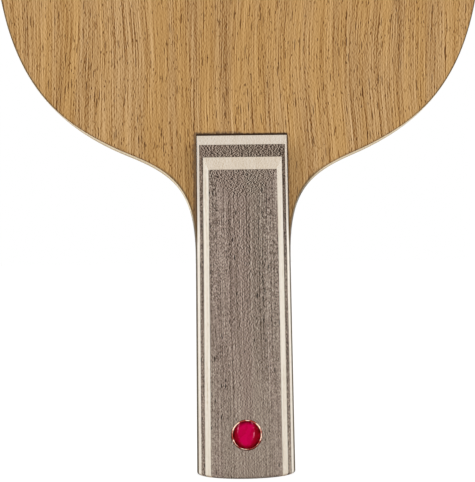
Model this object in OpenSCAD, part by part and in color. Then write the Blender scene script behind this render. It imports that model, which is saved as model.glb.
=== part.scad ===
// Bare table tennis blade with a straight laminated grip.
// It stands on its butt end: its length runs along Z and its two hitting faces look to -Y and +Y.
// The origin is the centre of the butt end, on the middle plane of the plywood.

/* [Head] */
// Width of the head at its widest line
head_w = 149; // [144:1:158]
// Height of the head, from the front edge of the grip to the top
head_len = 157; // [152:1:166]
// Height of the widest line above the front edge of the grip
widest_up = 77.2; // [70:0.2:84]
// How far the curve of the top reaches out from the centre line
top_reach = 45; // [38:1:52]
// How far the curve of the upper side reaches up from the widest line
upper_side_reach = 48; // [40:1:54]
// How far the curve of the lower side reaches down from the widest line
lower_side_reach = 44.5; // [36:0.5:50]

/* [Shoulders] */
// Distance from the centre line to the point where the shoulder turns into the neck
shoulder_out = 34.2; // [32:0.2:38]
// Distance of that point below the front edge of the grip
shoulder_drop = 5.8; // [4:0.1:9]
// Slope of the shoulder at that point, in degrees
shoulder_slope = 22.5; // [18:0.5:28]
// How far the curve of the lower side reaches in to that point
shoulder_reach = 36; // [28:0.5:40]
// How far the neck curve reaches in from that point
neck_reach_in = 15.5; // [14:0.5:20]
// How far the neck curve reaches up from its lower end
neck_reach_up = 19; // [16:0.5:28]
// Distance of the lower end of the neck curve below the front edge of the grip
neck_drop = 36.3; // [34:0.1:46]

/* [Plywood] */
// Thickness of each face veneer
face_t = 0.5; // [0.4:0.1:0.8]
// Thickness of each inner ply
inner_t = 1; // [0.8:0.1:1.4]
// Thickness of the core ply
core_t = 3; // [2.4:0.1:3.6]

/* [Edges] */
// Width of the eased edge round the head
edge_ease = 0.2; // [0.1:0.1:0.6]
// Width of the sanded edge on the shoulders, where a hand lies on them
shoulder_ease = 0.9; // [0.6:0.1:2.4]
// Distance from the centre line at which the sanding starts
ease_start = 60; // [54:1:64]
// Distance from the centre line within which it has its whole width
ease_full = 42; // [38:1:48]
// Distance from the centre line at which it starts to blend into the side of the grip
ease_neck = 26; // [22:1:30]

/* [Grip] */
// Length of the grip along the blade
grip_len = 102.5; // [96:0.5:110]
// Width of the grip at the butt end
grip_butt_w = 29.8; // [29:0.1:33]
// Width of the grip at its front edge
grip_front_w = 28.2; // [25:0.1:29]
// Thickness over both halves of the grip, crown to crown
grip_t = 22.5; // [20:0.5:26]
// Thickness of each of the three lower laminations
stripe_t = 1.6; // [1:0.1:2]
// Height of the upright lip at the front edge of each half
front_lip = 0.4; // [0.2:0.1:1]
// Angle between the bevelled front of each half and the blade, in degrees
bevel_angle = 22.7; // [18:0.1:40]
// Radius of the rounded edge round the butt end
butt_round = 1; // [0.4:0.1:2]

/* [Badge] */
// Outer diameter of the metal bezel
bezel_d = 9.2; // [6:0.1:11]
// Thickness of the bezel's wall and floor
bezel_wall = 0.45; // [0.25:0.05:0.6]
// Depth of the bezel from its rim to its back
bezel_depth = 1.6; // [1.2:0.1:1.8]
// Height of the badge's centre above the butt end
badge_up = 13.1; // [9:0.1:30]
// How far the bezel's rim lies below the highest line of the grip
rim_drop = 0.2; // [0.1:0.05:0.4]
// Diameter of the flat table on the stone
table_d = 5; // [3:0.1:6]
// Height of the stone above its girdle
stone_crown = 0.5; // [0.3:0.05:0.8]
// Free play all round the stone in its bezel, and the bezel in its pocket
seat_play = 0.05; // [0.02:0.01:0.1]

/* [Hidden] */

// Heights above the middle plane of the plywood
core_face = core_t / 2;
inner_face = core_face + inner_t;
blade_face = inner_face + face_t;
base_top = blade_face + stripe_t;
dark_top = base_top + stripe_t;
pale_top = dark_top + stripe_t;
crown = grip_t / 2;

// Heights above the butt end
widest_z = grip_len + widest_up;
top_z = grip_len + head_len;
shoulder_z = grip_len - shoulder_drop;
neck_z = grip_len - neck_drop;

// Number of straight runs in each curve
top_runs = 32;
side_runs = 40;
neck_runs = 20;
corner_runs = 4;
section_runs = 96;

// Half the width of the grip at a height above the butt end
function grip_half_w(z) = (grip_butt_w + (grip_front_w - grip_butt_w) * z / grip_len) / 2;

// Point on a smooth curve from a to d that leaves towards b and arrives from c
function curve_point(a, b, c, d, t) =
    pow(1 - t, 3) * a + 3 * pow(1 - t, 2) * t * b + 3 * (1 - t) * pow(t, 2) * c + pow(t, 3) * d;

// Points along such a curve, without its first one
function curve(a, b, c, d, runs) = [for (i = [1:runs]) curve_point(a, b, c, d, i / runs)];

// Share from 0 to 1 that starts and ends gently
function gentle(x) = let (s = max(0, min(1, x))) s * s * (3 - 2 * s);

// The four points that the right half of the blade's outline turns at, from the neck to the top
neck_point = [grip_half_w(neck_z), neck_z];
shoulder_point = [shoulder_out, shoulder_z];
side_point = [head_w / 2, widest_z];
top_point = [0, top_z];
shoulder_way = [cos(shoulder_slope), sin(shoulder_slope)];

// Right half of the blade's outline, from the butt end to the top
right_half = concat(
    [for (i = [0:corner_runs]) let (a = 90 * i / corner_runs) [
        grip_half_w(butt_round) - butt_round * (1 - sin(a)),
        butt_round * (1 - cos(a))
    ]],
    [neck_point],
    curve(
        neck_point,
        neck_point + [0, neck_reach_up],
        shoulder_point - neck_reach_in * shoulder_way,
        shoulder_point,
        neck_runs
    ),
    curve(
        shoulder_point,
        shoulder_point + shoulder_reach * shoulder_way,
        side_point - [0, lower_side_reach],
        side_point,
        side_runs
    ),
    curve(
        side_point,
        side_point + [0, upper_side_reach],
        top_point + [top_reach, 0],
        top_point,
        top_runs
    )
);

// Whole outline of the blade, once round
half_count = len(right_half);
outline = concat(
    right_half,
    [for (i = [half_count - 2:-1:0]) [-right_half[i][0], right_half[i][1]]]
);
outline_count = len(outline);

// How far the side of the grip has drawn in at the height of the blade's face
function grip_ease(z) = grip_half_w(z) * (1 - sqrt(1 - pow(blade_face / crown, 2)));

// Width of the eased edge at a point of the outline
function ease_width(p) =
    let (
        out = abs(p[0]),
        sanded = gentle((ease_start - out) / (ease_start - ease_full)),
        held = gentle((ease_neck - out) / (ease_neck - grip_half_w(neck_z))),
        shoulder = edge_ease + (shoulder_ease - edge_ease) * sanded
    )
    p[1] <= neck_z ? grip_ease(p[1]) :
    p[1] >= widest_z ? edge_ease :
    shoulder * (1 - held) + grip_ease(neck_z) * held;

// Direction square to the outline, pointing inwards; along the grip it is level
function inward(i) =
    let (
        before = outline[(i + outline_count - 1) % outline_count],
        after = outline[(i + 1) % outline_count],
        way = after - before
    )
    outline[i][1] <= neck_z ? [-sign(outline[i][0]), 0] : [-way[1], way[0]] / norm(way);

// Outline of the plywood at a height above its middle plane
function outline_at(height) =
    let (share = max(0, height - core_face) / (blade_face - core_face))
    [for (i = [0:outline_count - 1]) outline[i] + share * ease_width(outline[i]) * inward(i)];

// Turns a piece made on the back half round to the front half
module to_front() {
    mirror([0, 1, 0]) children();
}

// Place in the outline of the left point across from a right one
function across(i) = outline_count - 1 - i;

// A ply between two heights, whose edge follows the eased outline.
// Its two broad faces are strips from each right point to the left one across from it.
module eased_ply(low, high) {
    rings = [for (height = [low, high]) [for (p = outline_at(height)) [p[0], height, p[1]]]];
    n = outline_count;
    tip = half_count - 1;
    polyhedron(
        points = concat(rings[0], rings[1]),
        faces = concat(
            [for (i = [0:tip - 2]) [i, i + 1, across(i + 1), across(i)]],
            [[tip - 1, tip, across(tip - 1)]],
            [for (i = [0:tip - 2]) [n + i, n + across(i), n + across(i + 1), n + i + 1]],
            [[n + tip - 1, n + across(tip - 1), n + tip]],
            [for (i = [0:n - 1]) [i, n + i, n + (i + 1) % n, (i + 1) % n]]
        ),
        convexity = 6
    );
}

// Outer shape of the whole grip: oval sections that narrow to the front, with a rounded butt edge
module grip_body() {
    rounded = [for (i = [0:corner_runs]) let (a = 90 * i / corner_runs) [
        butt_round * (1 - cos(a)),
        butt_round * (1 - sin(a))
    ]];
    stations = concat(rounded, [[grip_len, 0]]);
    n = section_runs;
    last = len(stations) - 1;
    polyhedron(
        points = [
            for (s = stations) for (i = [0:n - 1]) [
                (grip_half_w(s[0]) - s[1]) * cos(360 * i / n),
                (crown - s[1]) * sin(360 * i / n),
                s[0]
            ]
        ],
        faces = concat(
            [[for (i = [0:n - 1]) i]],
            [[for (i = [n - 1:-1:0]) last * n + i]],
            [
                for (k = [0:last - 1]) for (i = [0:n - 1]) [
                    k * n + i,
                    (k + 1) * n + i,
                    (k + 1) * n + (i + 1) % n,
                    k * n + (i + 1) % n
                ]
            ]
        ),
        convexity = 2
    );
}

// Height above the butt end at which the bevelled front cuts a given height above the middle plane
function front_z(height) = grip_len - max(0, height - blade_face - front_lip) / tan(bevel_angle);

// The part of the grip's body between two heights, behind the bevelled front
module lamination(low, high) {
    lip_top = max(low, min(high, blade_face + front_lip));
    intersection() {
        grip_body();
        translate([-grip_butt_w, 0, 0])
            rotate([90, 0, 90])
                linear_extrude(height = 2 * grip_butt_w)
                    polygon([
                        [low, 0],
                        [high, 0],
                        [high, front_z(high)],
                        [lip_top, front_z(lip_top)],
                        [low, front_z(low)]
                    ]);
    }
}

// Places what is turned about the badge's axis, with its height measured from the middle plane
module on_badge_axis() {
    translate([0, 0, badge_up])
        rotate([90, 0, 0])
            children();
}

rim_height = crown - rim_drop;
bezel_back = rim_height - bezel_depth;
stone_seat = bezel_back + bezel_wall;
stone_r = bezel_d / 2 - bezel_wall - seat_play;
girdle_height = rim_height + rim_drop / 2 - stone_crown;

module core_ply() {
    color("#d9bd93")
        translate([0, core_face, 0])
            rotate([90, 0, 0])
                linear_extrude(height = core_t)
                    polygon(outline);
}

module inner_ply_back() {
    color("#e6d3b1")
        eased_ply(core_face, inner_face);
}

module inner_ply_front() {
    to_front() inner_ply_back();
}

module face_veneer_back() {
    color("#b48b58")
        eased_ply(inner_face, blade_face);
}

module face_veneer_front() {
    to_front() face_veneer_back();
}

module grip_back_base() {
    color("#e9ddcb")
        lamination(blade_face, base_top);
}

module grip_front_base() {
    to_front() grip_back_base();
}

module grip_back_dark_stripe() {
    color("#80746a")
        lamination(base_top, dark_top);
}

module grip_front_dark_stripe() {
    to_front() grip_back_dark_stripe();
}

module grip_back_pale_stripe() {
    color("#e9ddcb")
        lamination(dark_top, pale_top);
}

module grip_front_pale_stripe() {
    to_front() grip_back_pale_stripe();
}

module grip_back_cap() {
    color("#80746a")
        lamination(pale_top, crown);
}

// The front cap is the back one with a round pocket for the badge
module grip_front_cap() {
    color("#80746a")
        difference() {
            to_front() grip_back_cap();
            on_badge_axis()
                translate([0, 0, bezel_back])
                    cylinder(h = bezel_depth + rim_drop + 1, d = bezel_d + 2 * seat_play, $fn = 64);
        }
}

module badge_bezel() {
    color("#c8963e")
        on_badge_axis()
            rotate_extrude($fn = 64)
                polygon([
                    [0, bezel_back],
                    [bezel_d / 2, bezel_back],
                    [bezel_d / 2, rim_height],
                    [bezel_d / 2 - bezel_wall, rim_height],
                    [bezel_d / 2 - bezel_wall, stone_seat],
                    [0, stone_seat]
                ]);
}

module badge_stone() {
    color("#b0103c")
        on_badge_axis()
            rotate_extrude($fn = 64)
                polygon([
                    [0, stone_seat],
                    [stone_r, stone_seat],
                    [stone_r, girdle_height],
                    [table_d / 2, girdle_height + stone_crown],
                    [0, girdle_height + stone_crown]
                ]);
}

face_veneer_front();
inner_ply_front();
core_ply();
inner_ply_back();
face_veneer_back();
grip_front_base();
grip_front_dark_stripe();
grip_front_pale_stripe();
grip_front_cap();
grip_back_base();
grip_back_dark_stripe();
grip_back_pale_stripe();
grip_back_cap();
badge_bezel();
badge_stone();
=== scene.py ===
# Looks, light and camera for a bare table tennis blade with a laminated straight grip.
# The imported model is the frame; every piece here is made in that frame, in metres.
import math
import bmesh
import bpy
from mathutils import Matrix, Vector


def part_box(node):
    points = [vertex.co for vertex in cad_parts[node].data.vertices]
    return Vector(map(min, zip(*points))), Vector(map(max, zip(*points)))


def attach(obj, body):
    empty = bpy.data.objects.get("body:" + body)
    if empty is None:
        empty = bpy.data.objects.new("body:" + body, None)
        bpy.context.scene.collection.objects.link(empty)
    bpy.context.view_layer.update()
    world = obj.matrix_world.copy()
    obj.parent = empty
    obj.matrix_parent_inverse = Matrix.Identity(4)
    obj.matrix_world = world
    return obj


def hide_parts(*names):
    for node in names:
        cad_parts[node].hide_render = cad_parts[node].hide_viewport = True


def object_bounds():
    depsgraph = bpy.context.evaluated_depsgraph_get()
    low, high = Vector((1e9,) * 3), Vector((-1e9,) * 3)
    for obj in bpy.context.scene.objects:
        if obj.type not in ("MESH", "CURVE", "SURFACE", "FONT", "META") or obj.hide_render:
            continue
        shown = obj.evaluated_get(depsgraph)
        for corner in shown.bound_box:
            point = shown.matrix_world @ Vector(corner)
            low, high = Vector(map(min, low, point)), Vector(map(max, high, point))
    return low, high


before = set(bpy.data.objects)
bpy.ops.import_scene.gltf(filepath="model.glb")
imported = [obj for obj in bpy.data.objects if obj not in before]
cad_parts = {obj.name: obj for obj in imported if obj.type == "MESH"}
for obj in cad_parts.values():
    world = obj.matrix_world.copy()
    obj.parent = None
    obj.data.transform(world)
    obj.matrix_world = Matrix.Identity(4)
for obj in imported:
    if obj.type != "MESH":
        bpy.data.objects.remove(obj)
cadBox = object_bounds()
mm = 0.001
mergeDistance = 1e-7  # m, within which points made here are one
print("frame loaded")


# Sizes that come from the frame, in mm.
def outerHeight(node):  # how far a node reaches out from the middle of the plywood
    low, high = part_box(node)
    return max(abs(low.y), abs(high.y)) / mm


def halfWidth(node):
    low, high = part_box(node)
    return (high.x - low.x) / 2 / mm


coreFace = outerHeight("core_ply")
innerFace = outerHeight("inner_ply_front")
bladeFace = outerHeight("face_veneer_front")
baseTop = outerHeight("grip_front_base")
darkTop = outerHeight("grip_front_dark_stripe")
paleTop = outerHeight("grip_front_pale_stripe")
crown = outerHeight("grip_front_cap")
rimHeight = outerHeight("badge_bezel")
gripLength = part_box("grip_front_base")[1].z / mm
badgeUp = sum(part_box("badge_bezel"), Vector()).z / 2 / mm
badgeRadius = halfWidth("badge_bezel")
stoneRadius = halfWidth("badge_stone")
seams = (bladeFace, baseTop, darkTop, paleTop)

grip = {
    "buttWidth": 29.8,      # mm, over the sides
    "frontWidth": 28.2,
    "buttRound": 1.0,
    "bevelAngle": 22.7,     # of the sanded front, in degrees from the face of the blade
    "frontLip": 0.4,
    "arris": 0.08,          # how deep the crisp edges are sanded down
    "arrisSteps": 4,
    "sharpAngle": 20,       # below the bevel's angle, so that the bevel stays flat
    "aroundSteps": 160,
    "roundSteps": 6,
    "pocketGap": 0.04,      # between the badge's cup and its pocket
    "pocketSteps": 96,
}


def tint(red, green, blue):  # a colour picked on screen, 0 to 255, as the linear one of a socket
    def linear(level):
        share = level / 255
        return share / 12.92 if share <= 0.04045 else ((share + 0.055) / 1.055) ** 2.4
    return (linear(red), linear(green), linear(blue), 1)


def put(tree, kind, settings=None, inputs=None):  # a node with its settings, values and links
    node = tree.nodes.new(kind)
    for name, value in (settings or {}).items():
        setattr(node, name, value)
    for key, value in (inputs or {}).items():
        if isinstance(value, bpy.types.NodeSocket):
            tree.links.new(value, node.inputs[key])
        else:
            node.inputs[key].default_value = value
    return node


def use(tree, group, inputs):  # places a group in a material and returns its outputs
    return put(tree, "ShaderNodeGroup", {"node_tree": group}, inputs).outputs


def calc(tree, operation, *values):
    settings = {"operation": operation}
    return put(tree, "ShaderNodeMath", settings, dict(enumerate(values))).outputs[0]


def vectorCalc(tree, operation, *values):
    node = put(tree, "ShaderNodeVectorMath", {"operation": operation}, dict(enumerate(values)))
    return node.outputs["Value" if operation == "LENGTH" else "Vector"]


def join(tree, x, y, z):
    return put(tree, "ShaderNodeCombineXYZ", None, {0: x, 1: y, 2: z}).outputs[0]


def split(tree, vector):
    return put(tree, "ShaderNodeSeparateXYZ", None, {0: vector}).outputs


def ramp(tree, value, fromLow, fromHigh, toLow=0.0, toHigh=1.0, smooth=True):
    settings = {"interpolation_type": "SMOOTHSTEP" if smooth else "LINEAR"}
    inputs = {"Value": value, "From Min": fromLow, "From Max": fromHigh,
              "To Min": toLow, "To Max": toHigh}
    return put(tree, "ShaderNodeMapRange", settings, inputs).outputs["Result"]


def blend(tree, factor, first, second, mode="MIX"):
    settings = {"data_type": "RGBA", "blend_type": mode, "clamp_factor": True}
    return put(tree, "ShaderNodeMix", settings, {0: factor, 6: first, 7: second}).outputs[2]


def stain(tree, mask, share, colour, stainTint):  # covers a colour where the mask is, up to share
    return blend(tree, calc(tree, "MULTIPLY", mask, share), colour, tint(*stainTint))


def noise(tree, vector, detail=2.0, roughness=0.5):
    inputs = {"Vector": vector, "Scale": 1.0, "Detail": detail, "Roughness": roughness}
    return put(tree, "ShaderNodeTexNoise", {"noise_dimensions": "3D"}, inputs).outputs["Fac"]


def cells(tree, vector, randomness):  # the outputs of a pattern of one random point in each cell
    settings = {"voronoi_dimensions": "3D", "feature": "F1"}
    inputs = {"Vector": vector, "Scale": 1.0, "Randomness": randomness}
    return put(tree, "ShaderNodeTexVoronoi", settings, inputs).outputs


def stretched(tree, vector, across, deep, along):  # a pattern's cells get these mm in x, y and z
    return vectorCalc(tree, "DIVIDE", vector, join(tree, across, deep, along))


def patches(tree, vector, size, detail, roughness):  # noise in round patches of that many mm
    return noise(tree, stretched(tree, vector, size, size, size), detail, roughness)


def newGroup(name, inputs, outputs):  # a shader node group with named sockets
    tree = bpy.data.node_groups.new(name, "ShaderNodeTree")
    for socketName, value in inputs.items():
        kind = "NodeSocketVector" if value is None else "NodeSocketFloat"
        socket = tree.interface.new_socket(socketName, in_out="INPUT", socket_type=kind)
        if value is not None:
            socket.default_value = value
    for socketName in outputs:
        tree.interface.new_socket(socketName, in_out="OUTPUT", socket_type="NodeSocketFloat")
    given, out = tree.nodes.new("NodeGroupInput"), tree.nodes.new("NodeGroupOutput")
    return tree, given.outputs, out.inputs


grainPattern = {
    "seedSteps": (31.7, 12.3, 57.1),  # mm in x, y and z that one more in the seed moves it
    "slowBend": (45, 45, 70),         # mm in x, y and z
    "quickBend": (9, 9, 26),
    "quickShare": 0.12,
    "bendGain": 4,
    "sideStep": 0.36,                 # mm from one side of a fibre to the other
    "spreadGain": 8,                  # brings noise about 0.5 to a spread of about 1
    "sidesGain": 5.7,                 # and the difference of two noises
    "patch": (4, 4, 14),              # mm in x, y and z, of the patches that flecks lie in
    "patchNoise": (0.35, 0.65),
    "patchStrength": (0.85, 1.12),
}


def makeGrain():  # wandering grain in four sizes, each spread about 0 by about 1
    inputs = {"Vector": None, "Wander": 1.5, "Tone": 6.0, "Tone Length": 60.0, "Streak": 1.0,
              "Streak Depth": 1.0, "Streak Length": 12.0, "Fibre": 0.3, "Fibre Length": 2.0,
              "Fleck": 0.3, "Fleck Length": 1.0, "Seed": 0.0}
    tree, given, out = newGroup(
        "woodGrain", inputs, ("Tone", "Streak", "Fibre", "Fleck", "Shift"))
    steps = [calc(tree, "MULTIPLY", given["Seed"], step) for step in grainPattern["seedSteps"]]
    place = vectorCalc(tree, "ADD", given["Vector"], join(tree, *steps))
    slow = noise(tree, stretched(tree, place, *grainPattern["slowBend"]), detail=1)
    quick = noise(tree, stretched(tree, place, *grainPattern["quickBend"]), detail=1)
    quickPart = calc(tree, "SUBTRACT", quick, 0.5)
    quickPart = calc(tree, "MULTIPLY", quickPart, grainPattern["quickShare"])
    bend = calc(tree, "ADD", calc(tree, "SUBTRACT", slow, 0.5), quickPart)
    wander = calc(tree, "MULTIPLY", given["Wander"], grainPattern["bendGain"])
    shift = calc(tree, "MULTIPLY", bend, wander)
    bent = vectorCalc(tree, "ADD", place, join(tree, shift, 0, 0))
    beside = vectorCalc(tree, "ADD", bent, (grainPattern["sideStep"], 0, 0))
    # of each size: mm in x, y and z, and the detail and roughness of its noise
    sizes = (
        ("Tone", given["Tone"], given["Tone"], given["Tone Length"], 1, 0.5),
        ("Streak", given["Streak"], given["Streak Depth"], given["Streak Length"], 2, 0.8),
        ("Fibre", given["Fibre"], given["Fibre"], given["Fibre Length"], 1, 0.8),
        ("Fleck", given["Fleck"], given["Fleck"], given["Fleck Length"], 0, 0.5),
    )
    for name, across, deep, along, detail, roughness in sizes:
        value = noise(tree, stretched(tree, bent, across, deep, along), detail, roughness)
        if name in ("Fibre", "Fleck"):  # painted lit and shaded sides of one fibre lie close together
            middle = noise(tree, stretched(tree, beside, across, deep, along), detail, roughness)
            gain = grainPattern["sidesGain"]
        else:
            middle, gain = 0.5, grainPattern["spreadGain"]
        spread = calc(tree, "MULTIPLY", calc(tree, "SUBTRACT", value, middle), gain)
        if name == "Fleck":  # flecks lie in patches
            patch = noise(tree, stretched(tree, place, *grainPattern["patch"]), 1, 0.5)
            strength = ramp(
                tree, patch, *grainPattern["patchNoise"], *grainPattern["patchStrength"])
            spread = calc(tree, "MULTIPLY", spread, strength)
        tree.links.new(spread, out[name])
    tree.links.new(shift, out["Shift"])
    return tree


porePattern = {
    "seedSteps": (7.3, 3.9, 11.1),  # mm in x, y and z that one more in the seed moves it
    "sizes": (0.55, 1.3),           # smallest and largest, as shares of the size given
    "core": 0.7,                    # share of the radius that is fully dark
    "faintest": 0.45,
}


def makePores():  # short dark vessels along the grain, one at most in each cell
    inputs = {"Vector": None, "Shift": 0.0, "Across": 0.7, "Along": 5.0, "Size": 0.22,
              "Share": 0.7, "Seed": 0.0}
    tree, given, out = newGroup("woodPores", inputs, ("Mask",))
    steps = [calc(tree, "MULTIPLY", given["Seed"], step) for step in porePattern["seedSteps"]]
    steps[0] = calc(tree, "ADD", given["Shift"], steps[0])
    moved = vectorCalc(tree, "ADD", given["Vector"], join(tree, *steps))
    place = stretched(tree, moved, given["Across"], given["Across"], given["Along"])
    found = cells(tree, place, 1.0)
    lot = put(tree, "ShaderNodeSeparateColor", None, {"Color": found["Color"]}).outputs
    size = ramp(tree, lot[1], 0, 1, *porePattern["sizes"], smooth=False)
    radius = calc(tree, "MULTIPLY", given["Size"], size)
    core = calc(tree, "MULTIPLY", radius, porePattern["core"])
    inside = ramp(tree, found["Distance"], core, radius, 1, 0)
    kept = calc(tree, "LESS_THAN", lot[0], given["Share"])
    depth = ramp(tree, lot[2], 0, 1, porePattern["faintest"], 1, smooth=False)
    mask = calc(tree, "MULTIPLY", calc(tree, "MULTIPLY", inside, kept), depth)
    tree.links.new(mask, out["Mask"])
    return tree


seamPattern = {
    "rough": (0.28, 3, 1.6),  # mm in x, y and z
    "raggedGain": 4,
    "core": 0.3,              # share of the width that is fully covered
    "leastWidth": 0.001,      # mm
}


def makeSeam():  # ragged line where two laminations meet, at a height above the middle plane
    inputs = {"Vector": None, "Height": 3.0, "Width": 0.05, "Ragged": 0.5}
    tree, given, out = newGroup("glueSeam", inputs, ("Mask",))
    height = calc(tree, "ABSOLUTE", split(tree, given["Vector"])[1])
    rough = noise(tree, stretched(tree, given["Vector"], *seamPattern["rough"]), 2, 0.7)
    raggedness = calc(tree, "MULTIPLY", given["Ragged"], seamPattern["raggedGain"])
    ragged = calc(tree, "MULTIPLY", calc(tree, "SUBTRACT", rough, 0.5), raggedness)
    width = calc(tree, "MULTIPLY", given["Width"], calc(tree, "ADD", 1, ragged))
    gap = calc(tree, "ABSOLUTE", calc(tree, "SUBTRACT", height, given["Height"]))
    core = calc(tree, "MULTIPLY", width, seamPattern["core"])
    edge = calc(tree, "MAXIMUM", width, seamPattern["leastWidth"])
    tree.links.new(ramp(tree, gap, core, edge, 1, 0), out["Mask"])
    return tree


# sizes of the painted shade in the corner beside the grip, which is less on the right
cornerShadePattern = {
    "loose": (1.1, 3, 1.1),      # mm in x, y and z
    "looseNoise": (0.3, 0.7),
    "spread": (0.6, 1.3),        # least and most, as shares of the reach
    "frontSpread": (0.88, 1.1),
    "core": 0.5,                 # share of the reach that is fully covered
    "middle": 1,                 # mm to each side, where left turns into right
    "frontEnd": 0.4,             # mm past the sides of the grip
}


def makeContact():  # painted shade in the corner between the blade's face and the grip; glue and shade at the front
    inputs = {"Vector": None, "Half Width": 14.2, "Taper": 0.006, "Length": 102.5, "Reach": 0.8,
              "Right Share": 0.5, "Front Reach": 0.4}
    tree, given, out = newGroup("cornerGlueAndShade", inputs, ("Mask", "Front"))
    x, _, up = split(tree, given["Vector"])
    taper = calc(tree, "MULTIPLY", up, given["Taper"])
    side = calc(tree, "SUBTRACT", given["Half Width"], taper)
    aside = calc(tree, "ABSOLUTE", x)
    beside = calc(tree, "MAXIMUM", calc(tree, "SUBTRACT", aside, side), 0)
    above = calc(tree, "MAXIMUM", calc(tree, "SUBTRACT", up, given["Length"]), 0)
    squares = calc(tree, "ADD", calc(tree, "POWER", beside, 2), calc(tree, "POWER", above, 2))
    gap = calc(tree, "SQRT", squares)
    loose = noise(tree, stretched(tree, given["Vector"], *cornerShadePattern["loose"]), 3, 0.6)
    spread = ramp(tree, loose, *cornerShadePattern["looseNoise"], *cornerShadePattern["spread"])
    uneven = ramp(tree, x, -cornerShadePattern["middle"], cornerShadePattern["middle"], 1, given["Right Share"])
    reach = calc(tree, "MULTIPLY", calc(tree, "MULTIPLY", given["Reach"], spread), uneven)
    core = calc(tree, "MULTIPLY", reach, cornerShadePattern["core"])
    tree.links.new(ramp(tree, gap, core, reach, 1, 0), out["Mask"])
    frontSpread = ramp(tree, loose, *cornerShadePattern["looseNoise"], *cornerShadePattern["frontSpread"])
    frontReach = calc(tree, "MULTIPLY", given["Front Reach"], frontSpread)
    frontCore = calc(tree, "MULTIPLY", frontReach, cornerShadePattern["core"])
    front = ramp(tree, gap, frontCore, frontReach, 1, 0)
    facing = ramp(tree, beside, 0, cornerShadePattern["frontEnd"], 1, 0)
    tree.links.new(calc(tree, "MULTIPLY", front, facing), out["Front"])
    return tree


def makeEndCut():  # 1 where a face cuts across the grain, which runs along Z
    tree, given, out = newGroup("endCut", {"Normal": None}, ("Mask",))
    up = calc(tree, "ABSOLUTE", split(tree, given["Normal"])[2])
    tree.links.new(ramp(tree, up, 0.1, 0.9), out["Mask"])
    return tree


woodGrain = makeGrain()
woodPores = makePores()
glueSeam = makeSeam()
cornerGlueAndShade = makeContact()
endCut = makeEndCut()


def newMaterial(name):
    material = bpy.data.materials.new(name)
    material.use_nodes = True
    tree = material.node_tree
    tree.nodes.clear()
    surface = put(tree, "ShaderNodeBsdfPrincipled")
    output = put(tree, "ShaderNodeOutputMaterial")
    tree.links.new(surface.outputs[0], output.inputs["Surface"])
    place = put(tree, "ShaderNodeTexCoord").outputs["Object"]
    inMillimetres = vectorCalc(tree, "MULTIPLY", place, (1 / mm, 1 / mm, 1 / mm))
    return material, tree, surface, inMillimetres


def shadeRamp(tree, value, shades):  # colours along a ramp, given as (place, colour) pairs
    node = put(tree, "ShaderNodeValToRGB", None, {0: value})
    stops = node.color_ramp.elements
    stops[0].position, stops[0].color = shades[0][0], tint(*shades[0][1])
    stops[1].position, stops[1].color = shades[-1][0], tint(*shades[-1][1])
    for position, colour in shades[1:-1]:
        stops.new(position).color = tint(*colour)
    return node.outputs[0]


# Grain and pores of one wood, as a colour and a height for the bump. Painted light makes it
# paler, painted shade darker, and strength bolder.
def woodColour(tree, place, look, paintedLight=0.0, strength=1.0):
    grain = use(tree, woodGrain, {
        "Vector": place, "Wander": look["wander"], "Tone": look["toneWidth"],
        "Tone Length": look["toneLength"], "Streak": look["streakWidth"],
        "Streak Depth": look["streakDepth"], "Streak Length": look["streakLength"],
        "Fibre": look["fibreWidth"], "Fibre Length": look["fibreLength"],
        "Fleck": look["fleckWidth"], "Fleck Length": look["fleckLength"], "Seed": look["seed"]})
    normal = put(tree, "ShaderNodeNewGeometry").outputs["Normal"]
    cutEnd = use(tree, endCut, {"Normal": normal})["Mask"]
    endFleck = calc(tree, "MULTIPLY", cutEnd, look["endFleck"])
    value = calc(tree, "MULTIPLY", grain["Fleck"], endFleck)
    for size in ("Tone", "Streak", "Fibre", "Fleck"):
        part = calc(tree, "MULTIPLY", grain[size], look[size.lower() + "Share"])
        value = calc(tree, "ADD", value, part)
    middle = calc(tree, "ADD", 0.5, paintedLight)
    value = calc(tree, "ADD", calc(tree, "MULTIPLY", value, strength), middle)
    fewer = calc(tree, "POWER", strength, 3)
    for number, (across, along, size, share, depth) in enumerate(look["pores"]):
        pores = use(tree, woodPores, {
            "Vector": place, "Shift": grain["Shift"], "Across": across, "Along": along,
            "Size": size, "Share": calc(tree, "MULTIPLY", share, fewer),
            "Seed": look["seed"] + number + 1})["Mask"]
        value = calc(tree, "SUBTRACT", value, calc(tree, "MULTIPLY", pores, depth))
    colour = shadeRamp(tree, value, look["shades"])
    hue = ramp(tree, grain["Tone"], -1.5, 1.5, 0, look["hueShare"])
    colour = blend(tree, hue, colour, tint(*look["hue"]), "MULTIPLY")
    # darker where a face cuts across the grain: end grain, and painted shade on faces turned up or
    # down
    ended = calc(tree, "MULTIPLY", cutEnd, look["endShade"])
    colour = blend(tree, ended, colour, tint(*look["endGrainAndShadeTint"]), "MULTIPLY")
    return colour, value


finish = {
    "openRougher": 0.18,     # in the pores
    "flatSmoother": 0.04,    # and on the highest fibres
    "flatHeight": 0.8,
    "poreFloor": -0.2,       # how low the bump follows a pore
    "relief": 0.08,          # mm, for a height of 1
    "coatRoughness": 0.35,
}


def finishWood(tree, surface, colour, height, look):
    tree.links.new(colour, surface.inputs["Base Color"])
    inPores = look["roughness"] + finish["openRougher"]
    onTop = look["roughness"] - finish["flatSmoother"]
    rough = ramp(tree, height, 0, finish["flatHeight"], inPores, onTop, smooth=False)
    tree.links.new(rough, surface.inputs["Roughness"])
    bump = put(tree, "ShaderNodeBump", None, {
        "Strength": look["bump"], "Distance": finish["relief"] * mm,
        "Height": calc(tree, "MAXIMUM", height, finish["poreFloor"])})
    tree.links.new(bump.outputs[0], surface.inputs["Normal"])
    surface.inputs["Specular IOR Level"].default_value = look["gloss"]
    surface.inputs["Coat Weight"].default_value = look["coat"]
    surface.inputs["Coat Roughness"].default_value = finish["coatRoughness"]


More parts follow.
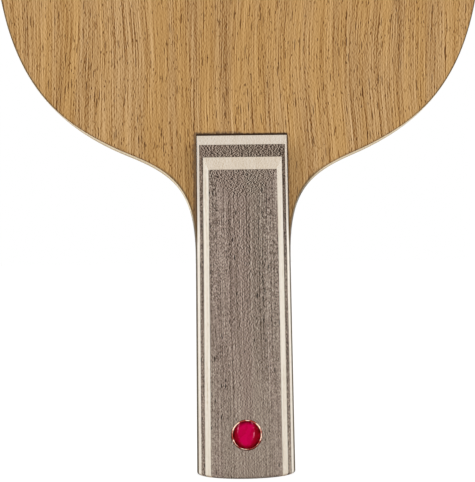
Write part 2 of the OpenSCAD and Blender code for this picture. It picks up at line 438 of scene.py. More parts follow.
faceLook = {
    "shades": ((0.0, (74, 36, 8)), (0.12, (116, 73, 28)), (0.25, (149, 106, 57)),
               (0.5, (190, 151, 101)), (0.75, (212, 174, 125)), (1.0, (229, 193, 147))),
    "hue": (246, 236, 206), "hueShare": 0.8,
    "endGrainAndShadeTint": (190, 170, 150), "endShade": 0.8, "endFleck": 0.1,
    "wander": 1.6, "toneWidth": 4, "toneLength": 55, "toneShare": 0.035,
    "streakWidth": 1.2, "streakDepth": 6, "streakLength": 50, "streakShare": 0.1,
    "fibreWidth": 0.3, "fibreLength": 22, "fibreShare": 0.165,
    "fleckWidth": 0.24, "fleckLength": 0.9, "fleckShare": 0.075,
    # of each kind of pore: mm across and along its cell, size in the cell, share of cells, depth
    "pores": ((0.7, 9.0, 0.16, 0.8, 0.8), (0.55, 2.8, 0.18, 0.7, 0.7), (0.5, 1.6, 0.25, 0.1, 1.4)),
    "roughness": 0.55, "bump": 0.4, "gloss": 0.12, "coat": 0.03, "seed": 1,
}
faceMarks = {
    # painted shade beside the grip, less on the right, and a glue line with painted shade in front
    # of it
    "cornerShadeReach": 1.5,           # mm out from the sides of the grip
    "cornerShadeRight": 0.45,          # share of that on the right
    "cornerShadeShare": 0.7,
    "cornerShadeTint": (96, 74, 56),
    "glueAndShadeReach": 0.95,          # mm out from the front of the grip
    "glueAndShadeShare": 0.95,
    "glueAndShadeTint": (44, 26, 10),
    # painted shade on the face beside the grip's neck
    "neckShadeShare": 0.3,
    "neckShadeTint": (104, 76, 44),
    "neckAside": (15, 22),      # mm from the middle line, where the painted shade beside the neck ends
    "neckUp": (96, 104),        # mm above the butt end, where it ends
    # painted shade along the veneer's eased edge, at the shoulders and at the neck
    "edgeRim": (0.6, 0.95),     # values of the rim attribute that the edge line fades between
    "edgeShadeTint": (92, 74, 46),
    "edgeLeast": 0.1,
    "shoulderEdge": (46, 62),   # mm from the middle line, outside which the edge's painted shade is dark
    "shoulderShare": 0.85,
    "neckEdge": (19, 27),       # and inside which it is dark again
    "neckEdgeShare": 0.65,
}


def makeFaceWood():  # brown veneer with open pores under a thin satin sealer
    material, tree, surface, place = newMaterial("faceWood")
    colour, height = woodColour(tree, place, faceLook)
    marks = faceMarks
    flush = math.sqrt(1 - (bladeFace / crown) ** 2)  # the oval's width at the blade's face
    contact = use(tree, cornerGlueAndShade, {
        "Vector": place, "Half Width": grip["buttWidth"] / 2 * flush,
        "Taper": (grip["buttWidth"] - grip["frontWidth"]) / 2 / gripLength * flush,
        "Length": gripLength, "Reach": marks["cornerShadeReach"], "Right Share": marks["cornerShadeRight"],
        "Front Reach": marks["glueAndShadeReach"]})
    x, _, up = split(tree, place)
    aside = calc(tree, "ABSOLUTE", x)
    # painted shade on the face beside the grip's neck
    neck = calc(tree, "MULTIPLY", ramp(tree, aside, *marks["neckAside"], marks["neckShadeShare"], 0),
                ramp(tree, up, *marks["neckUp"], 1, 0))
    colour = blend(tree, neck, colour, tint(*marks["neckShadeTint"]))
    # painted shade beside the grip, and the glue line with painted shade in front of it
    colour = stain(tree, contact["Mask"], marks["cornerShadeShare"], colour, marks["cornerShadeTint"])
    colour = stain(tree, contact["Front"], marks["glueAndShadeShare"], colour, marks["glueAndShadeTint"])
    # painted shade along the eased edge, at the shoulders and at the neck
    rim = put(tree, "ShaderNodeAttribute", {"attribute_name": "rim"}).outputs["Fac"]
    atShoulder = ramp(
        tree, aside, *marks["shoulderEdge"], marks["edgeLeast"], marks["shoulderShare"])
    atNeck = ramp(tree, aside, *marks["neckEdge"], marks["neckEdgeShare"], marks["edgeLeast"])
    edgeShadeShare = calc(tree, "MAXIMUM", atShoulder, atNeck)
    edgeShade = calc(tree, "MULTIPLY", ramp(tree, rim, *marks["edgeRim"]), edgeShadeShare)
    colour = blend(tree, edgeShade, colour, tint(*marks["edgeShadeTint"]))
    finishWood(tree, surface, colour, height, faceLook)
    return material


plyLook = {
    "shades": ((0.0, (206, 184, 146)), (0.35, (240, 226, 196)), (0.65, (248, 238, 214)),
               (1.0, (252, 246, 230))),
    "hue": (246, 238, 226), "hueShare": 0.6,
    "endGrainAndShadeTint": (240, 232, 220), "endShade": 0.6, "endFleck": 0.1,
    "wander": 0.8, "toneWidth": 5, "toneLength": 40, "toneShare": 0.04,
    "streakWidth": 0.8, "streakDepth": 0.8, "streakLength": 12, "streakShare": 0.09,
    "fibreWidth": 0.3, "fibreLength": 2.0, "fibreShare": 0.08,
    "fleckWidth": 0.3, "fleckLength": 1.0, "fleckShare": 0.04,
    "pores": ((0.5, 3.0, 0.2, 0.5, 0.3),),
    "roughness": 0.62, "bump": 0.35, "gloss": 0.3, "coat": 0.0, "seed": 5,
}
coreLook = dict(
    plyLook, seed=7, streakWidth=1.0, streakDepth=1.0, pores=((0.6, 4.0, 0.22, 0.6, 0.4),),
    shades=((0.0, (140, 106, 66)), (0.35, (194, 164, 120)), (0.65, (212, 184, 142)),
            (1.0, (230, 206, 168))))
plyMarks = {
    # of each glue line (the wide one also painted shade): height, width and raggedness in mm,
    # share and colour
    "glueAndShadeLines": ((coreFace, 0.4, 0.25, 0.9, (178, 162, 134)),
                  (innerFace, 0.07, 0.5, 0.5, (150, 124, 88))),
    "plyShadeTint": (90, 82, 70),   # painted shade beside the grip
    "plyShadeUp": (70, 85),         # mm above the butt end, where that ends on the left
    "plyShadeRight": 9,             # mm further up on the right
    "plyShadePatch": (9, 3, 7),     # mm in x, y and z
    "plyShadeUneven": 24,           # mm
}


def makePlyWood(name, look):  # the sanded edges of the inner plies and the core
    material, tree, surface, place = newMaterial(name)
    colour, height = woodColour(tree, place, look)
    # glue lines; the wide one at the core is also painted shade on the inner ply's edge
    for glueHeight, width, ragged, share, glueAndShadeTint in plyMarks["glueAndShadeLines"]:
        glue = use(tree, glueSeam, {
            "Vector": place, "Height": glueHeight, "Width": width, "Ragged": ragged})["Mask"]
        colour = stain(tree, glue, share, colour, glueAndShadeTint)
    # painted shade on the plies' edges beside the grip, reaching further up on the right
    x, _, up = split(tree, place)
    reached = calc(tree, "SUBTRACT", up, ramp(tree, x, -1, 1, 0, plyMarks["plyShadeRight"]))
    patchy = noise(tree, stretched(tree, place, *plyMarks["plyShadePatch"]), detail=3, roughness=0.6)
    uneven = calc(tree, "MULTIPLY", calc(tree, "SUBTRACT", patchy, 0.5), plyMarks["plyShadeUneven"])
    dark = ramp(tree, calc(tree, "ADD", reached, uneven), *plyMarks["plyShadeUp"], 1, 0)
    colour = blend(tree, dark, colour, tint(*plyMarks["plyShadeTint"]), "MULTIPLY")
    finishWood(tree, surface, colour, height, look)
    return material


paleLook = {
    "shades": ((0.0, (212, 196, 172)), (0.35, (236, 226, 210)), (0.65, (244, 236, 223)),
               (1.0, (250, 245, 236))),
    "hue": (246, 242, 236), "hueShare": 0.6,
    "endGrainAndShadeTint": (178, 152, 120), "endShade": 1.0, "endFleck": 0.2,
    "wander": 0.4, "toneWidth": 4, "toneLength": 50, "toneShare": 0.03,
    "streakWidth": 0.7, "streakDepth": 6, "streakLength": 40, "streakShare": 0.1,
    "fibreWidth": 0.34, "fibreLength": 20, "fibreShare": 0.13,
    "fleckWidth": 0.3, "fleckLength": 1.2, "fleckShare": 0.06,
    "pores": ((0.6, 5.0, 0.16, 0.4, 0.2),),
    # painted light paler at the butt end, on the bevel and on the right (below 0 painted shade);
    # how bold at the butt end
    "paintedLightEnd": 0.0, "paintedLightFront": 0.0, "paintedLightRight": 0.0, "boldEnd": 1.0,
    "seamTint": (150, 134, 112), "seamShare": 0.5,
    "roughness": 0.48, "bump": 0.2, "gloss": 0.35, "coat": 0.08, "seed": 11,
}
darkLook = {
    "shades": ((0.0, (10, 5, 2)), (0.12, (70, 55, 43)), (0.25, (92, 76, 63)),
               (0.5, (139, 123, 110)), (0.75, (169, 154, 139)), (1.0, (205, 192, 176))),
    "hue": (242, 232, 236), "hueShare": 0.6,
    "endGrainAndShadeTint": (204, 194, 186), "endShade": 0.9, "endFleck": 0.5,
    "wander": 0.5, "toneWidth": 5, "toneLength": 60, "toneShare": 0.02,
    "streakWidth": 0.8, "streakDepth": 2, "streakLength": 90, "streakShare": 0.015,
    "fibreWidth": 0.3, "fibreLength": 60, "fibreShare": 0.17,
    "fleckWidth": 0.25, "fleckLength": 0.5, "fleckShare": 0.195,
    "pores": ((0.6, 2.6, 0.29, 0.2, 3.6),),
    "paintedLightEnd": 0.09, "paintedLightFront": 0.0, "paintedLightRight": 0.0, "boldEnd": 0.62,
    "seamTint": (74, 62, 52), "seamShare": 0.6,
    "roughness": 0.5, "bump": 0.4, "gloss": 0.2, "coat": 0.03, "seed": 21,
}
baseLook = dict(
    paleLook, seed=14, endGrainAndShadeTint=(152, 121, 77), paintedLightFront=0.25,
    shades=((0.0, (210, 194, 172)), (0.35, (231, 221, 206)), (0.65, (240, 232, 219)),
            (1.0, (252, 247, 238))))
stripeLook = dict(
    darkLook, seed=27, endShade=0.0, gloss=0.12, coat=0.0, paintedLightRight=-0.045, boldEnd=1.1,
    shades=((0.0, (32, 23, 16)), (0.25, (76, 62, 51)), (0.5, (124, 108, 94)),
            (0.75, (157, 141, 126)), (1.0, (188, 173, 155))))
gripMarks = {
    "paintedLightEndUp": (0, 75),     # mm above the butt end, as the next two
    "paintedLightFrontUp": (62, 80),
    "boldEndUp": (0, 85),
    "paintedLightRightFrom": (-4, 4),     # mm from the middle line
    "seamWidth": 0.05,
    "seamRagged": 0.8,
}


def makeGripWood(name, look):
    material, tree, surface, place = newMaterial(name)
    x, _, up = split(tree, place)
    # painted light: paler at the butt end and towards the front; painted shade on the right
    end = ramp(tree, up, *gripMarks["paintedLightEndUp"], look["paintedLightEnd"], 0)
    front = ramp(tree, up, *gripMarks["paintedLightFrontUp"], 0, look["paintedLightFront"])
    right = ramp(tree, x, *gripMarks["paintedLightRightFrom"], 0, look["paintedLightRight"])
    paintedLight = calc(tree, "ADD", calc(tree, "ADD", end, front), right)
    strength = ramp(tree, up, *gripMarks["boldEndUp"], look["boldEnd"], 1)
    colour, height = woodColour(tree, place, look, paintedLight, strength)
    for seam in seams:
        line = use(tree, glueSeam, {
            "Vector": place, "Height": seam, "Width": gripMarks["seamWidth"],
            "Ragged": gripMarks["seamRagged"]})["Mask"]
        colour = stain(tree, line, look["seamShare"], colour, look["seamTint"])
    finishWood(tree, surface, colour, height, look)
    return material


def fromBadge(tree, place):  # distance from the badge's axis in mm, and the flat vector from it
    centred = vectorCalc(tree, "SUBTRACT", place, (0, 0, badgeUp))
    flat = vectorCalc(tree, "MULTIPLY", centred, (1, 0, 1))
    return vectorCalc(tree, "LENGTH", flat), flat


gold = {
    # painted highlights, dark painted reflections and pink painted glints on the rim
    "highlightTint": (255, 224, 200),
    "darkReflectionTint": (168, 60, 50),
    "highlightPatch": 2.6,            # mm, as the next two
    "scuffAndGlintPatch": 0.5,
    "fineGrain": 0.06,
    "highlightShift": (3.1, 0, 7.7),  # mm, turns the painted highlights to where they are seen
    "pinkGlintTint": (248, 160, 138),
    "pinkGlintShare": 0.6,
    # painted shade and dark reflection along the outer edge, wider at the bottom
    "outlineShadeTint": (96, 14, 14),
    "outlineShadeShare": 0.92,
    "outlineShadeWide": (0.3, 0.12),  # mm in from the outer edge, at the bottom and at the top
    "outlineShadeUneven": 0.35,
    # painted shade down the cup's walls below the rim
    "recessShadeTint": (96, 22, 16),
    "recessShadeShare": 0.85,
    "recessShadeFrom": (0.45, 0.12),    # mm under the rim, where the painted shade is darkest and where it ends
    "roughness": (0.14, 0.3),
    "bump": 0.15,
    "relief": 0.02,              # mm
}


def makeGold():  # thin polished cup, with painted highlights on the rim and dark red painted shade on its outer edge
    material, tree, surface, place = newMaterial("badgeGold")
    out, flat = fromBadge(tree, place)
    scuffAndGlint = patches(tree, place, gold["scuffAndGlintPatch"], 3, 0.7)
    shifted = vectorCalc(tree, "ADD", flat, gold["highlightShift"])
    highlightPlaces = patches(tree, shifted, gold["highlightPatch"], 2, 0.6)
    fine = patches(tree, place, gold["fineGrain"], 2, 0.6)
    # painted shade along the outer edge, uneven and wider at the bottom
    uneven = calc(tree, "MULTIPLY", calc(tree, "SUBTRACT", highlightPlaces, 0.5), gold["outlineShadeUneven"])
    low = split(tree, flat)[2]
    inset = calc(tree, "ADD", ramp(tree, low, -3, 3, *gold["outlineShadeWide"]), out)
    edge = calc(tree, "ADD", calc(tree, "SUBTRACT", badgeRadius, inset), uneven)
    outlineShade = ramp(tree, edge, -0.1, 0.02, 1, 0)
    # painted highlights and dark painted reflections round the rim, then pink painted glints
    glint = ramp(tree, highlightPlaces, 0.42, 0.56)
    colour = blend(tree, glint, tint(*gold["darkReflectionTint"]), tint(*gold["highlightTint"]))
    pinkGlint = ramp(tree, scuffAndGlint, 0.45, 0.7, 0, gold["pinkGlintShare"])
    colour = blend(tree, pinkGlint, colour, tint(*gold["pinkGlintTint"]))
    colour = stain(tree, outlineShade, gold["outlineShadeShare"], colour, gold["outlineShadeTint"])
    # painted shade down the walls below the rim
    height = calc(tree, "ABSOLUTE", split(tree, place)[1])
    darkest, ends = gold["recessShadeFrom"]
    deep = ramp(tree, height, rimHeight - darkest, rimHeight - ends, 1, 0)
    colour = stain(tree, deep, gold["recessShadeShare"], colour, gold["recessShadeTint"])
    tree.links.new(colour, surface.inputs["Base Color"])
    surface.inputs["Metallic"].default_value = 1
    tree.links.new(ramp(tree, scuffAndGlint, 0.3, 0.7, *gold["roughness"]), surface.inputs["Roughness"])
    bump = put(tree, "ShaderNodeBump", None, {
        "Strength": gold["bump"], "Distance": gold["relief"] * mm, "Height": fine})
    tree.links.new(bump.outputs[0], surface.inputs["Normal"])
    return material


stone = {
    "tableWide": 2.4,            # mm, half the width of the flat table's oval
    "tableHigh": 4.1,            # and half its height
    "tableShift": 0.25,          # how far left of the middle the painted foil reflection lies
    "tableRise": 1.0,            # and how far above it
    "edgeWidth": 0.28,           # of the painted highlight line where the table meets the facets
    "foilPatch": (1.3, 1.3, 1.9),
    "cloudPatch": 1.6,
    # painted foil reflection: dim and bright cells, brighter on the table than on the sides
    "tableTints": ((184, 0, 58), (208, 0, 82)),
    "sideTints": ((132, 0, 18), (168, 0, 36)),
    # painted shade at the girdle, and painted highlights on the facet edges
    "girdleShadeTint": (88, 0, 2),
    "edgeHighlightTint": (244, 108, 146),
    "edgeHighlightShare": 0.9,
    "lineCoat": 0.6,
    "roughness": (0.06, 0.12),
    "gloss": 0.02,
    "coatRoughness": 0.04,
}


def makeStone():  # red stone with a foiled back and painted light: a tall bright table between two darker sides
    material, tree, surface, place = newMaterial("badgeStone")
    out, flat = fromBadge(tree, place)
    share = calc(tree, "DIVIDE", out, stoneRadius)
    shifted = vectorCalc(tree, "ADD", flat, (stone["tableShift"], 0, -stone["tableRise"]))
    scaled = stretched(tree, shifted, stone["tableWide"], 1, stone["tableHigh"])
    oval = vectorCalc(tree, "LENGTH", scaled)
    foil = cells(tree, stretched(tree, flat, *stone["foilPatch"]), 0.8)
    glow = put(tree, "ShaderNodeSeparateColor", None, {"Color": foil["Color"]}).outputs[0]
    cloud = patches(tree, flat, stone["cloudPatch"], 2, 0.6)
    # painted foil reflection, brighter on the table than on the sides
    inner, ring = [blend(tree, glow, tint(*dull), tint(*glint))
                   for dull, glint in (stone["tableTints"], stone["sideTints"])]
    colour = blend(tree, ramp(tree, oval, 0.8, 1.25), inner, ring)
    # painted shade towards the girdle, in patches
    cloudy = ramp(tree, cloud, 0.38, 0.6, 0.4, 1)
    shaded = calc(tree, "MULTIPLY", ramp(tree, share, 0.68, 1.0), cloudy)
    colour = blend(tree, shaded, colour, tint(*stone["girdleShadeTint"]))
    gap = calc(tree, "ABSOLUTE", calc(tree, "SUBTRACT", oval, 1.0))
    gap = calc(tree, "MULTIPLY", gap, stone["tableWide"])
    line = ramp(tree, gap, 0.02, stone["edgeWidth"], 1, 0)
    x, _, up = split(tree, flat)
    aside = calc(tree, "ABSOLUTE", x)
    for part in (ramp(tree, cloud, 0.42, 0.62), ramp(tree, aside, 1.0, 1.7),
                 ramp(tree, up, -1.6, 0.4, 0.1, 1)):  # painted highlights: broken, at the sides only, faint below
        line = calc(tree, "MULTIPLY", line, part)
    colour = stain(tree, line, stone["edgeHighlightShare"], colour, stone["edgeHighlightTint"])
    tree.links.new(colour, surface.inputs["Base Color"])
    tree.links.new(ramp(tree, glow, 0, 1, *stone["roughness"]), surface.inputs["Roughness"])
    surface.inputs["Specular IOR Level"].default_value = stone["gloss"]
    coat = calc(tree, "MULTIPLY", line, stone["lineCoat"])
    tree.links.new(coat, surface.inputs["Coat Weight"])
    surface.inputs["Coat Roughness"].default_value = stone["coatRoughness"]
    return material


faceWood = makeFaceWood()
innerWood = makePlyWood("innerPlyWood", plyLook)
coreWood = makePlyWood("corePlyWood", coreLook)
baseWood = makeGripWood("baseGripWood", baseLook)
paleWood = makeGripWood("paleGripWood", paleLook)
stripeWood = makeGripWood("stripeGripWood", stripeLook)
darkWood = makeGripWood("darkGripWood", darkLook)
badgeGold = makeGold()
badgeRed = makeStone()
print("materials made")


def linked(name, mesh):
    piece = bpy.data.objects.new(name, mesh)
    bpy.context.scene.collection.objects.link(piece)
    return piece


def toMesh(bm, name):
    mesh = bpy.data.meshes.new(name)
    bm.to_mesh(mesh)
    bm.free()
    return mesh


def finishPiece(bm, name, material, nodes, sharpAngle=32):
    mesh = toMesh(bm, name)
    mesh.materials.append(material)
    mesh.shade_smooth()
    mesh.set_sharp_from_angle(angle=math.radians(sharpAngle))
    piece = linked(name, mesh)
    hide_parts(*nodes)
    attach(piece, "root")
    return piece


def keepFlat(piece):  # flat faces stay flat although their edges are rounded
    modifier = piece.modifiers.new("flatFaces", "WEIGHTED_NORMAL")
    modifier.mode = "FACE_AREA"
    modifier.keep_sharp = True


def cut(bm, point, normal):  # keeps what lies behind the plane, and closes the cut
    made = bmesh.ops.bisect_plane(
        bm, geom=bm.verts[:] + bm.edges[:] + bm.faces[:], dist=1e-8,
        plane_co=point, plane_no=normal, clear_outer=True)
    edges = [e for e in made["geom_cut"] if isinstance(e, bmesh.types.BMEdge)]
    bmesh.ops.edgeloop_fill(bm, edges=edges)


def gripHalf(side):  # one half of the grip as one block; side is -1 for the front
    bm = bmesh.new()
    around = grip["buttRound"] * mm
    wideEnd, thickEnd = grip["buttWidth"] / 2 * mm, crown * mm
    size, level = (wideEnd - around, thickEnd - around), 0
    bmesh.ops.create_circle(bm, cap_ends=False, segments=grip["aroundSteps"], radius=1)
    bmesh.ops.scale(bm, vec=(*size, 1), verts=bm.verts[:])
    ring = bm.edges[:]
    bmesh.ops.edgeloop_fill(bm, edges=ring)
    stations = []  # up, half the width and half the thickness
    for step in range(1, grip["roundSteps"] + 1):
        angle = math.pi / 2 * step / grip["roundSteps"]
        inset = around * (1 - math.sin(angle))
        rise = 1 - math.cos(angle)
        taper = (grip["buttWidth"] - grip["frontWidth"]) / 2 * rise * around / gripLength
        stations.append((around * rise, wideEnd - taper - inset, thickEnd - inset))
    stations.append((gripLength * mm, grip["frontWidth"] / 2 * mm, thickEnd))
    for up, wide, thick in stations:
        made = bmesh.ops.extrude_edge_only(bm, edges=ring)["geom"]
        verts = [v for v in made if isinstance(v, bmesh.types.BMVert)]
        ring = [e for e in made if isinstance(e, bmesh.types.BMEdge)]
        bmesh.ops.scale(bm, vec=(wide / size[0], thick / size[1], 1), verts=verts)
        bmesh.ops.translate(bm, vec=(0, 0, up - level), verts=verts)
        size, level = (wide, thick), up
    bmesh.ops.edgeloop_fill(bm, edges=ring)
    bmesh.ops.recalc_face_normals(bm, faces=bm.faces[:])
    cut(bm, (0, side * bladeFace * mm, 0), (0, -side, 0))
    tilt = math.radians(grip["bevelAngle"])
    lip = Vector((0, side * (bladeFace + grip["frontLip"]) * mm, gripLength * mm))
    cut(bm, lip, (0, side * math.cos(tilt), math.sin(tilt)))
    frontUp = math.sin(tilt) - 0.01  # only the bevel and the lip face up more than this
    crisp = [e for e in bm.edges if any(f.normal.z > frontUp for f in e.link_faces)]
    bmesh.ops.bevel(
        bm, geom=crisp, offset=grip["arris"] * mm, offset_type="DEPTH",
        segments=grip["arrisSteps"], profile=0.5, affect="EDGES", material=-1, clamp_overlap=True)
    cut(bm, (0, side * bladeFace * mm, 0), (0, -side, 0))
    return bm


def makeLamination(name, side, low, high, material):
    bm = gripHalf(side)
    cut(bm, (0, side * low * mm, 0), (0, -side, 0))
    if high < crown:
        cut(bm, (0, side * high * mm, 0), (0, side, 0))
    bmesh.ops.remove_doubles(bm, verts=bm.verts[:], dist=mergeDistance)
    bmesh.ops.recalc_face_normals(bm, faces=bm.faces[:])
    piece = finishPiece(bm, f"{name}_dressed", material, [name], grip["sharpAngle"])
    keepFlat(piece)
    return piece


def drillPocket(piece, low):  # the round pocket that the badge sits in
    bm = bmesh.new()
    radius = (badgeRadius + grip["pocketGap"]) * mm
    depth = crown + 1 - low  # 1 mm past the crown
    bmesh.ops.create_cone(
        bm, cap_ends=True, segments=grip["pocketSteps"], radius1=radius, radius2=radius,
        depth=depth * mm)
    bmesh.ops.rotate(bm, matrix=Matrix.Rotation(math.pi / 2, 3, "X"), verts=bm.verts[:])
    bmesh.ops.translate(bm, vec=(0, -(low + depth / 2) * mm, badgeUp * mm), verts=bm.verts[:])
    cutter = linked("pocketCutter", toMesh(bm, "pocketCutter"))
    modifier = piece.modifiers.new("pocket", "BOOLEAN")
    modifier.operation = "DIFFERENCE"
    modifier.solver = "EXACT"
    modifier.object = cutter
    graph = bpy.context.evaluated_depsgraph_get()
    drilled = bpy.data.meshes.new_from_object(piece.evaluated_get(graph))
    piece.modifiers.clear()
    piece.data = drilled
    piece.data.name = piece.name
    bpy.data.objects.remove(cutter)
    keepFlat(piece)


layers = (
    ("base", bladeFace, baseTop, baseWood, "pale_grip_wood"),
    ("dark_stripe", baseTop, darkTop, stripeWood, "dark_grip_wood"),
    ("pale_stripe", darkTop, paleTop, paleWood, "pale_grip_wood"),
    ("cap", paleTop, crown, darkWood, "dark_grip_wood"),
)
for half, side in (("front", -1), ("back", 1)):
    for part, low, high, material, slot in layers:
        piece = makeLamination(f"grip_{half}_{part}", side, low, high, material)
        if (half, part) == ("front", "cap"):
            drillPocket(piece, abs(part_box("badge_bezel")[1].y) / mm)
print("grip made")


plies = {
    "arris": 0.14,       # mm, how far the edges of the faces are broken
    "arrisSteps": 3,
    "rimWidth": 0.9,     # mm, the band that the rim attribute fades over
}


def mergedCopy(node):  # a CAD ply as one closed mesh with whole broad faces
    bm = bmesh.new()
    bm.from_mesh(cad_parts[node].data)
    bmesh.ops.remove_doubles(bm, verts=bm.verts[:], dist=1e-6)
    bmesh.ops.dissolve_limit(
        bm, angle_limit=math.radians(0.2), verts=bm.verts[:], edges=bm.edges[:])
    bmesh.ops.recalc_face_normals(bm, faces=bm.faces[:])
    return bm


def makePly(node, material):
    finishPiece(mergedCopy(node), f"{node}_dressed", material, [node])


def outerFace(bm):  # the largest of the flat faces that lie furthest out
    flat = [(abs(f.calc_center_median().y), f) for f in bm.faces if abs(f.normal.y) > 0.99]
    reach = max(height for height, f in flat)
    return max((f for height, f in flat if reach - height < 1e-5), key=lambda f: f.calc_area())


def makeVeneer(node):
    bm = mergedCopy(node)
    bmesh.ops.bevel(
        bm, geom=outerFace(bm).edges[:], offset=plies["arris"] * mm, offset_type="OFFSET",
        segments=plies["arrisSteps"], profile=0.5, affect="EDGES", material=-1,
        clamp_overlap=True)
    rim = bm.verts.layers.float.new("rim")
    for vert in bm.verts:
        vert[rim] = 1
    bmesh.ops.inset_region(
        bm, faces=[outerFace(bm)], thickness=plies["rimWidth"] * mm, use_even_offset=True)
    for vert in outerFace(bm).verts:
        vert[rim] = 0
    keepFlat(finishPiece(bm, f"{node}_dressed", faceWood, [node]))


for side in ("front", "back"):
    makeVeneer(f"face_veneer_{side}")
    makePly(f"inner_ply_{side}", innerWood)
makePly("core_ply", coreWood)
print("plywood made")


badge = {
    "wall": 0.45,         # mm
    "depth": 1.6,
    "rimRound": 0.16,
    "rimSteps": 4,
    "aroundSteps": 96,
    "blankSteps": 64,
    "blankHeight": 2,
    "facets": 10,         # large ones, with twice as many small ones outside them
    "stoneCrown": 0.5,
    "upperAngle": 30,     # of the small facets next to the girdle, in degrees
    "upperReach": 0.985,  # share of the stone's radius that they start from
    "upperTurn": 0.25,    # of a small facet's step
}


def toBadge(bm):  # from flat on the ground to its place, facing forwards
    bmesh.ops.rotate(bm, matrix=Matrix.Rotation(math.pi / 2, 3, "X"), verts=bm.verts[:])
    bmesh.ops.translate(bm, vec=(0, 0, badgeUp * mm), verts=bm.verts[:])


badgeBack = rimHeight - badge["depth"]
badgeSeat = badgeBack + badge["wall"]


def makeBezel():
    bm = bmesh.new()
    inside = badgeRadius - badge["wall"]
    profile = ((0, badgeBack), (badgeRadius, badgeBack), (badgeRadius, rimHeight),
               (inside, rimHeight), (inside, badgeSeat), (0, badgeSeat))
    verts = [bm.verts.new((out * mm, 0, up * mm)) for out, up in profile]
    edges = [bm.edges.new(pair) for pair in zip(verts, verts[1:])]
    bmesh.ops.spin(bm, geom=verts + edges, cent=(0, 0, 0), axis=(0, 0, 1), angle=2 * math.pi,
                   steps=badge["aroundSteps"], use_merge=True, use_duplicate=False)
    bmesh.ops.remove_doubles(bm, verts=bm.verts[:], dist=mergeDistance)
    bmesh.ops.recalc_face_normals(bm, faces=bm.faces[:])
    lipEdges = [e for e in bm.edges if all(abs(v.co.z - rimHeight * mm) < 1e-8 for v in e.verts)
                and abs(e.verts[0].co.xy.length - e.verts[1].co.xy.length) < 1e-7]
    bmesh.ops.bevel(bm, geom=lipEdges, offset=badge["rimRound"] * mm, offset_type="OFFSET",
                    segments=badge["rimSteps"], profile=0.5, affect="EDGES", material=-1)
    toBadge(bm)
    finishPiece(bm, "badge_bezel_turned", badgeGold, ["badge_bezel"], 40)


def outwards(turn):  # the level direction at a turn round the upright axis
    return Vector((math.cos(turn), math.sin(turn), 0))


def makeStonePiece():  # cut like a real one: a round blank, then its facets, then the table
    bm = bmesh.new()
    tableHeight = abs(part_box("badge_stone")[0].y) / mm
    girdle = Vector((0, 0, tableHeight - badge["stoneCrown"]))

    def facet(outward, share, angle):  # share is how far out it starts from, of the radius
        normal = outward * math.sin(angle) + Vector((0, 0, math.cos(angle)))
        cut(bm, (outward * stoneRadius * share + girdle) * mm, normal)

    bmesh.ops.create_cone(
        bm, cap_ends=True, segments=badge["blankSteps"], radius1=stoneRadius * mm,
        radius2=stoneRadius * mm, depth=badge["blankHeight"] * mm)
    middle = badgeSeat + badge["blankHeight"] / 2
    bmesh.ops.translate(bm, vec=(0, 0, middle * mm), verts=bm.verts[:])
    for number in range(badge["facets"]):
        outward = outwards(2 * math.pi * number / badge["facets"])
        reach = math.hypot(stone["tableWide"] * outward.x, stone["tableHigh"] * outward.y)
        facet(outward, 1, math.atan2(badge["stoneCrown"], stoneRadius - reach))
    for number in range(2 * badge["facets"]):
        outward = outwards(2 * math.pi * (number + badge["upperTurn"]) / badge["facets"] / 2)
        facet(outward, badge["upperReach"], math.radians(badge["upperAngle"]))
    cut(bm, Vector((0, 0, tableHeight * mm)), Vector((0, 0, 1)))
    bmesh.ops.remove_doubles(bm, verts=bm.verts[:], dist=mergeDistance)
    bmesh.ops.recalc_face_normals(bm, faces=bm.faces[:])
    toBadge(bm)
    finishPiece(bm, "badge_stone_cut", badgeRed, ["badge_stone"], 4)


makeBezel()
makeStonePiece()
print("badge made")


studio = {
    "floorSize": 8,          # m
    "paper": 0.8,            # grey of the floor, as light falls on it
    "shownPaper": 0.4,       # and where it is seen, under a glow that makes it white
    "glow": 0.78,
    "fill": 0.72,            # brightness of the even light from all round
    "lampDistance": 0.75,    # m
    "lampWidth": 0.55,
    "lampHeight": 0.42,
    "lampUp": 0.16,
    # turn round the object from the camera's side, in degrees, and power in W
    "lamps": ((-52, 1.58), (52, 1.5), (-135, 1.58), (135, 1.58)),
}


def seenDirectly(tree):  # 1 for what the camera sees itself, in a gloss or through glass
    path = put(tree, "ShaderNodeLightPath").outputs
    seen = calc(tree, "MAXIMUM", path["Is Camera Ray"], path["Is Glossy Ray"])
    return calc(tree, "MAXIMUM", seen, path["Is Transmission Ray"])


def grey(level):
    return (level, level, level, 1)


def makeFloor():
    bm = bmesh.new()
    bmesh.ops.create_grid(bm, x_segments=1, y_segments=1, size=studio["floorSize"] / 2)
    mesh = toMesh(bm, "floor")
    floor = linked("floor", mesh)
    material = bpy.data.materials.new("floorWhite")
    material.use_nodes = True
    tree = material.node_tree
    tree.nodes.clear()
    paper, soft = [put(tree, "ShaderNodeBsdfDiffuse", None, {"Color": grey(studio[level])})
                   for level in ("paper", "shownPaper")]
    white = put(tree, "ShaderNodeEmission", None, {"Color": grey(1), "Strength": studio["glow"]})
    shown = put(tree, "ShaderNodeAddShader", None, {0: soft.outputs[0], 1: white.outputs[0]})
    mixed = put(tree, "ShaderNodeMixShader", None, {
        0: seenDirectly(tree), 1: paper.outputs[0], 2: shown.outputs[0]})
    output = put(tree, "ShaderNodeOutputMaterial")
    tree.links.new(mixed.outputs[0], output.inputs["Surface"])
    mesh.materials.append(material)


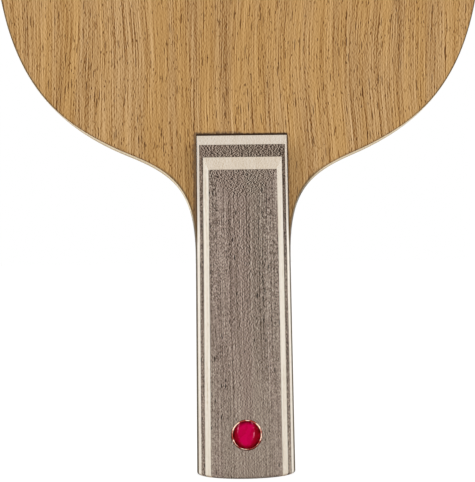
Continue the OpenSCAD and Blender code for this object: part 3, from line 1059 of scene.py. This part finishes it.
def makeWorld():
    world = bpy.data.worlds.new("studio")
    world.use_nodes = True
    tree = world.node_tree
    tree.nodes.clear()
    strength = calc(tree, "MAXIMUM", seenDirectly(tree), studio["fill"])
    sky = put(tree, "ShaderNodeBackground", None, {"Color": grey(1), "Strength": strength})
    output = put(tree, "ShaderNodeOutputWorld")
    tree.links.new(sky.outputs[0], output.inputs["Surface"])
    bpy.context.scene.world = world


def makeLamps():
    middle = (cadBox[0] + cadBox[1]) / 2
    for number, (turn, power) in enumerate(studio["lamps"]):
        light = bpy.data.lights.new(f"softbox{number + 1}", "AREA")
        light.shape = "RECTANGLE"
        light.size, light.size_y = studio["lampWidth"], studio["lampHeight"]
        light.energy = power
        lamp = linked(light.name, light)
        angle = math.radians(turn)
        away = Vector((math.sin(angle), -math.cos(angle), 0))
        lamp.location = Vector((0, 0, studio["lampUp"])) + away * studio["lampDistance"]
        aim = Vector((0, 0, middle.z)) - lamp.location
        lamp.rotation_euler = aim.to_track_quat("-Z", "Y").to_euler()
        lamp.visible_camera = False


view = {
    "aimX": -1.63,       # mm, the point at the middle of the picture
    "aimZ": 70.63,
    "distance": 426,     # mm, from the middle plane of the blade
    "azimuth": -1.7,     # degrees
    "roll": 0.82,
    "lens": 104.6,
    "sensor": 36,
    "clip": (0.01, 20),  # m
}


def makeCamera():
    data = bpy.data.cameras.new("photoView")
    data.sensor_width = view["sensor"]
    data.lens = view["lens"]
    data.clip_start, data.clip_end = view["clip"]
    camera = linked("photoView", data)
    turn, roll = math.radians(view["azimuth"]), math.radians(view["roll"])
    back = Vector((math.sin(turn), -math.cos(turn), 0))
    level = Vector((math.cos(turn), math.sin(turn), 0))
    upright = Vector((0, 0, 1))
    right = level * math.cos(roll) - upright * math.sin(roll)
    above = upright * math.cos(roll) + level * math.sin(roll)
    place = Vector((view["aimX"], 0, view["aimZ"])) * mm + back * view["distance"] * mm
    turned = Matrix((right, above, back)).transposed().to_4x4()
    camera.matrix_world = Matrix.Translation(place) @ turned
    bpy.context.scene.camera = camera


makeFloor()
makeWorld()
makeLamps()
makeCamera()
bpy.context.scene.view_settings.view_transform = "Standard"
print("studio made")
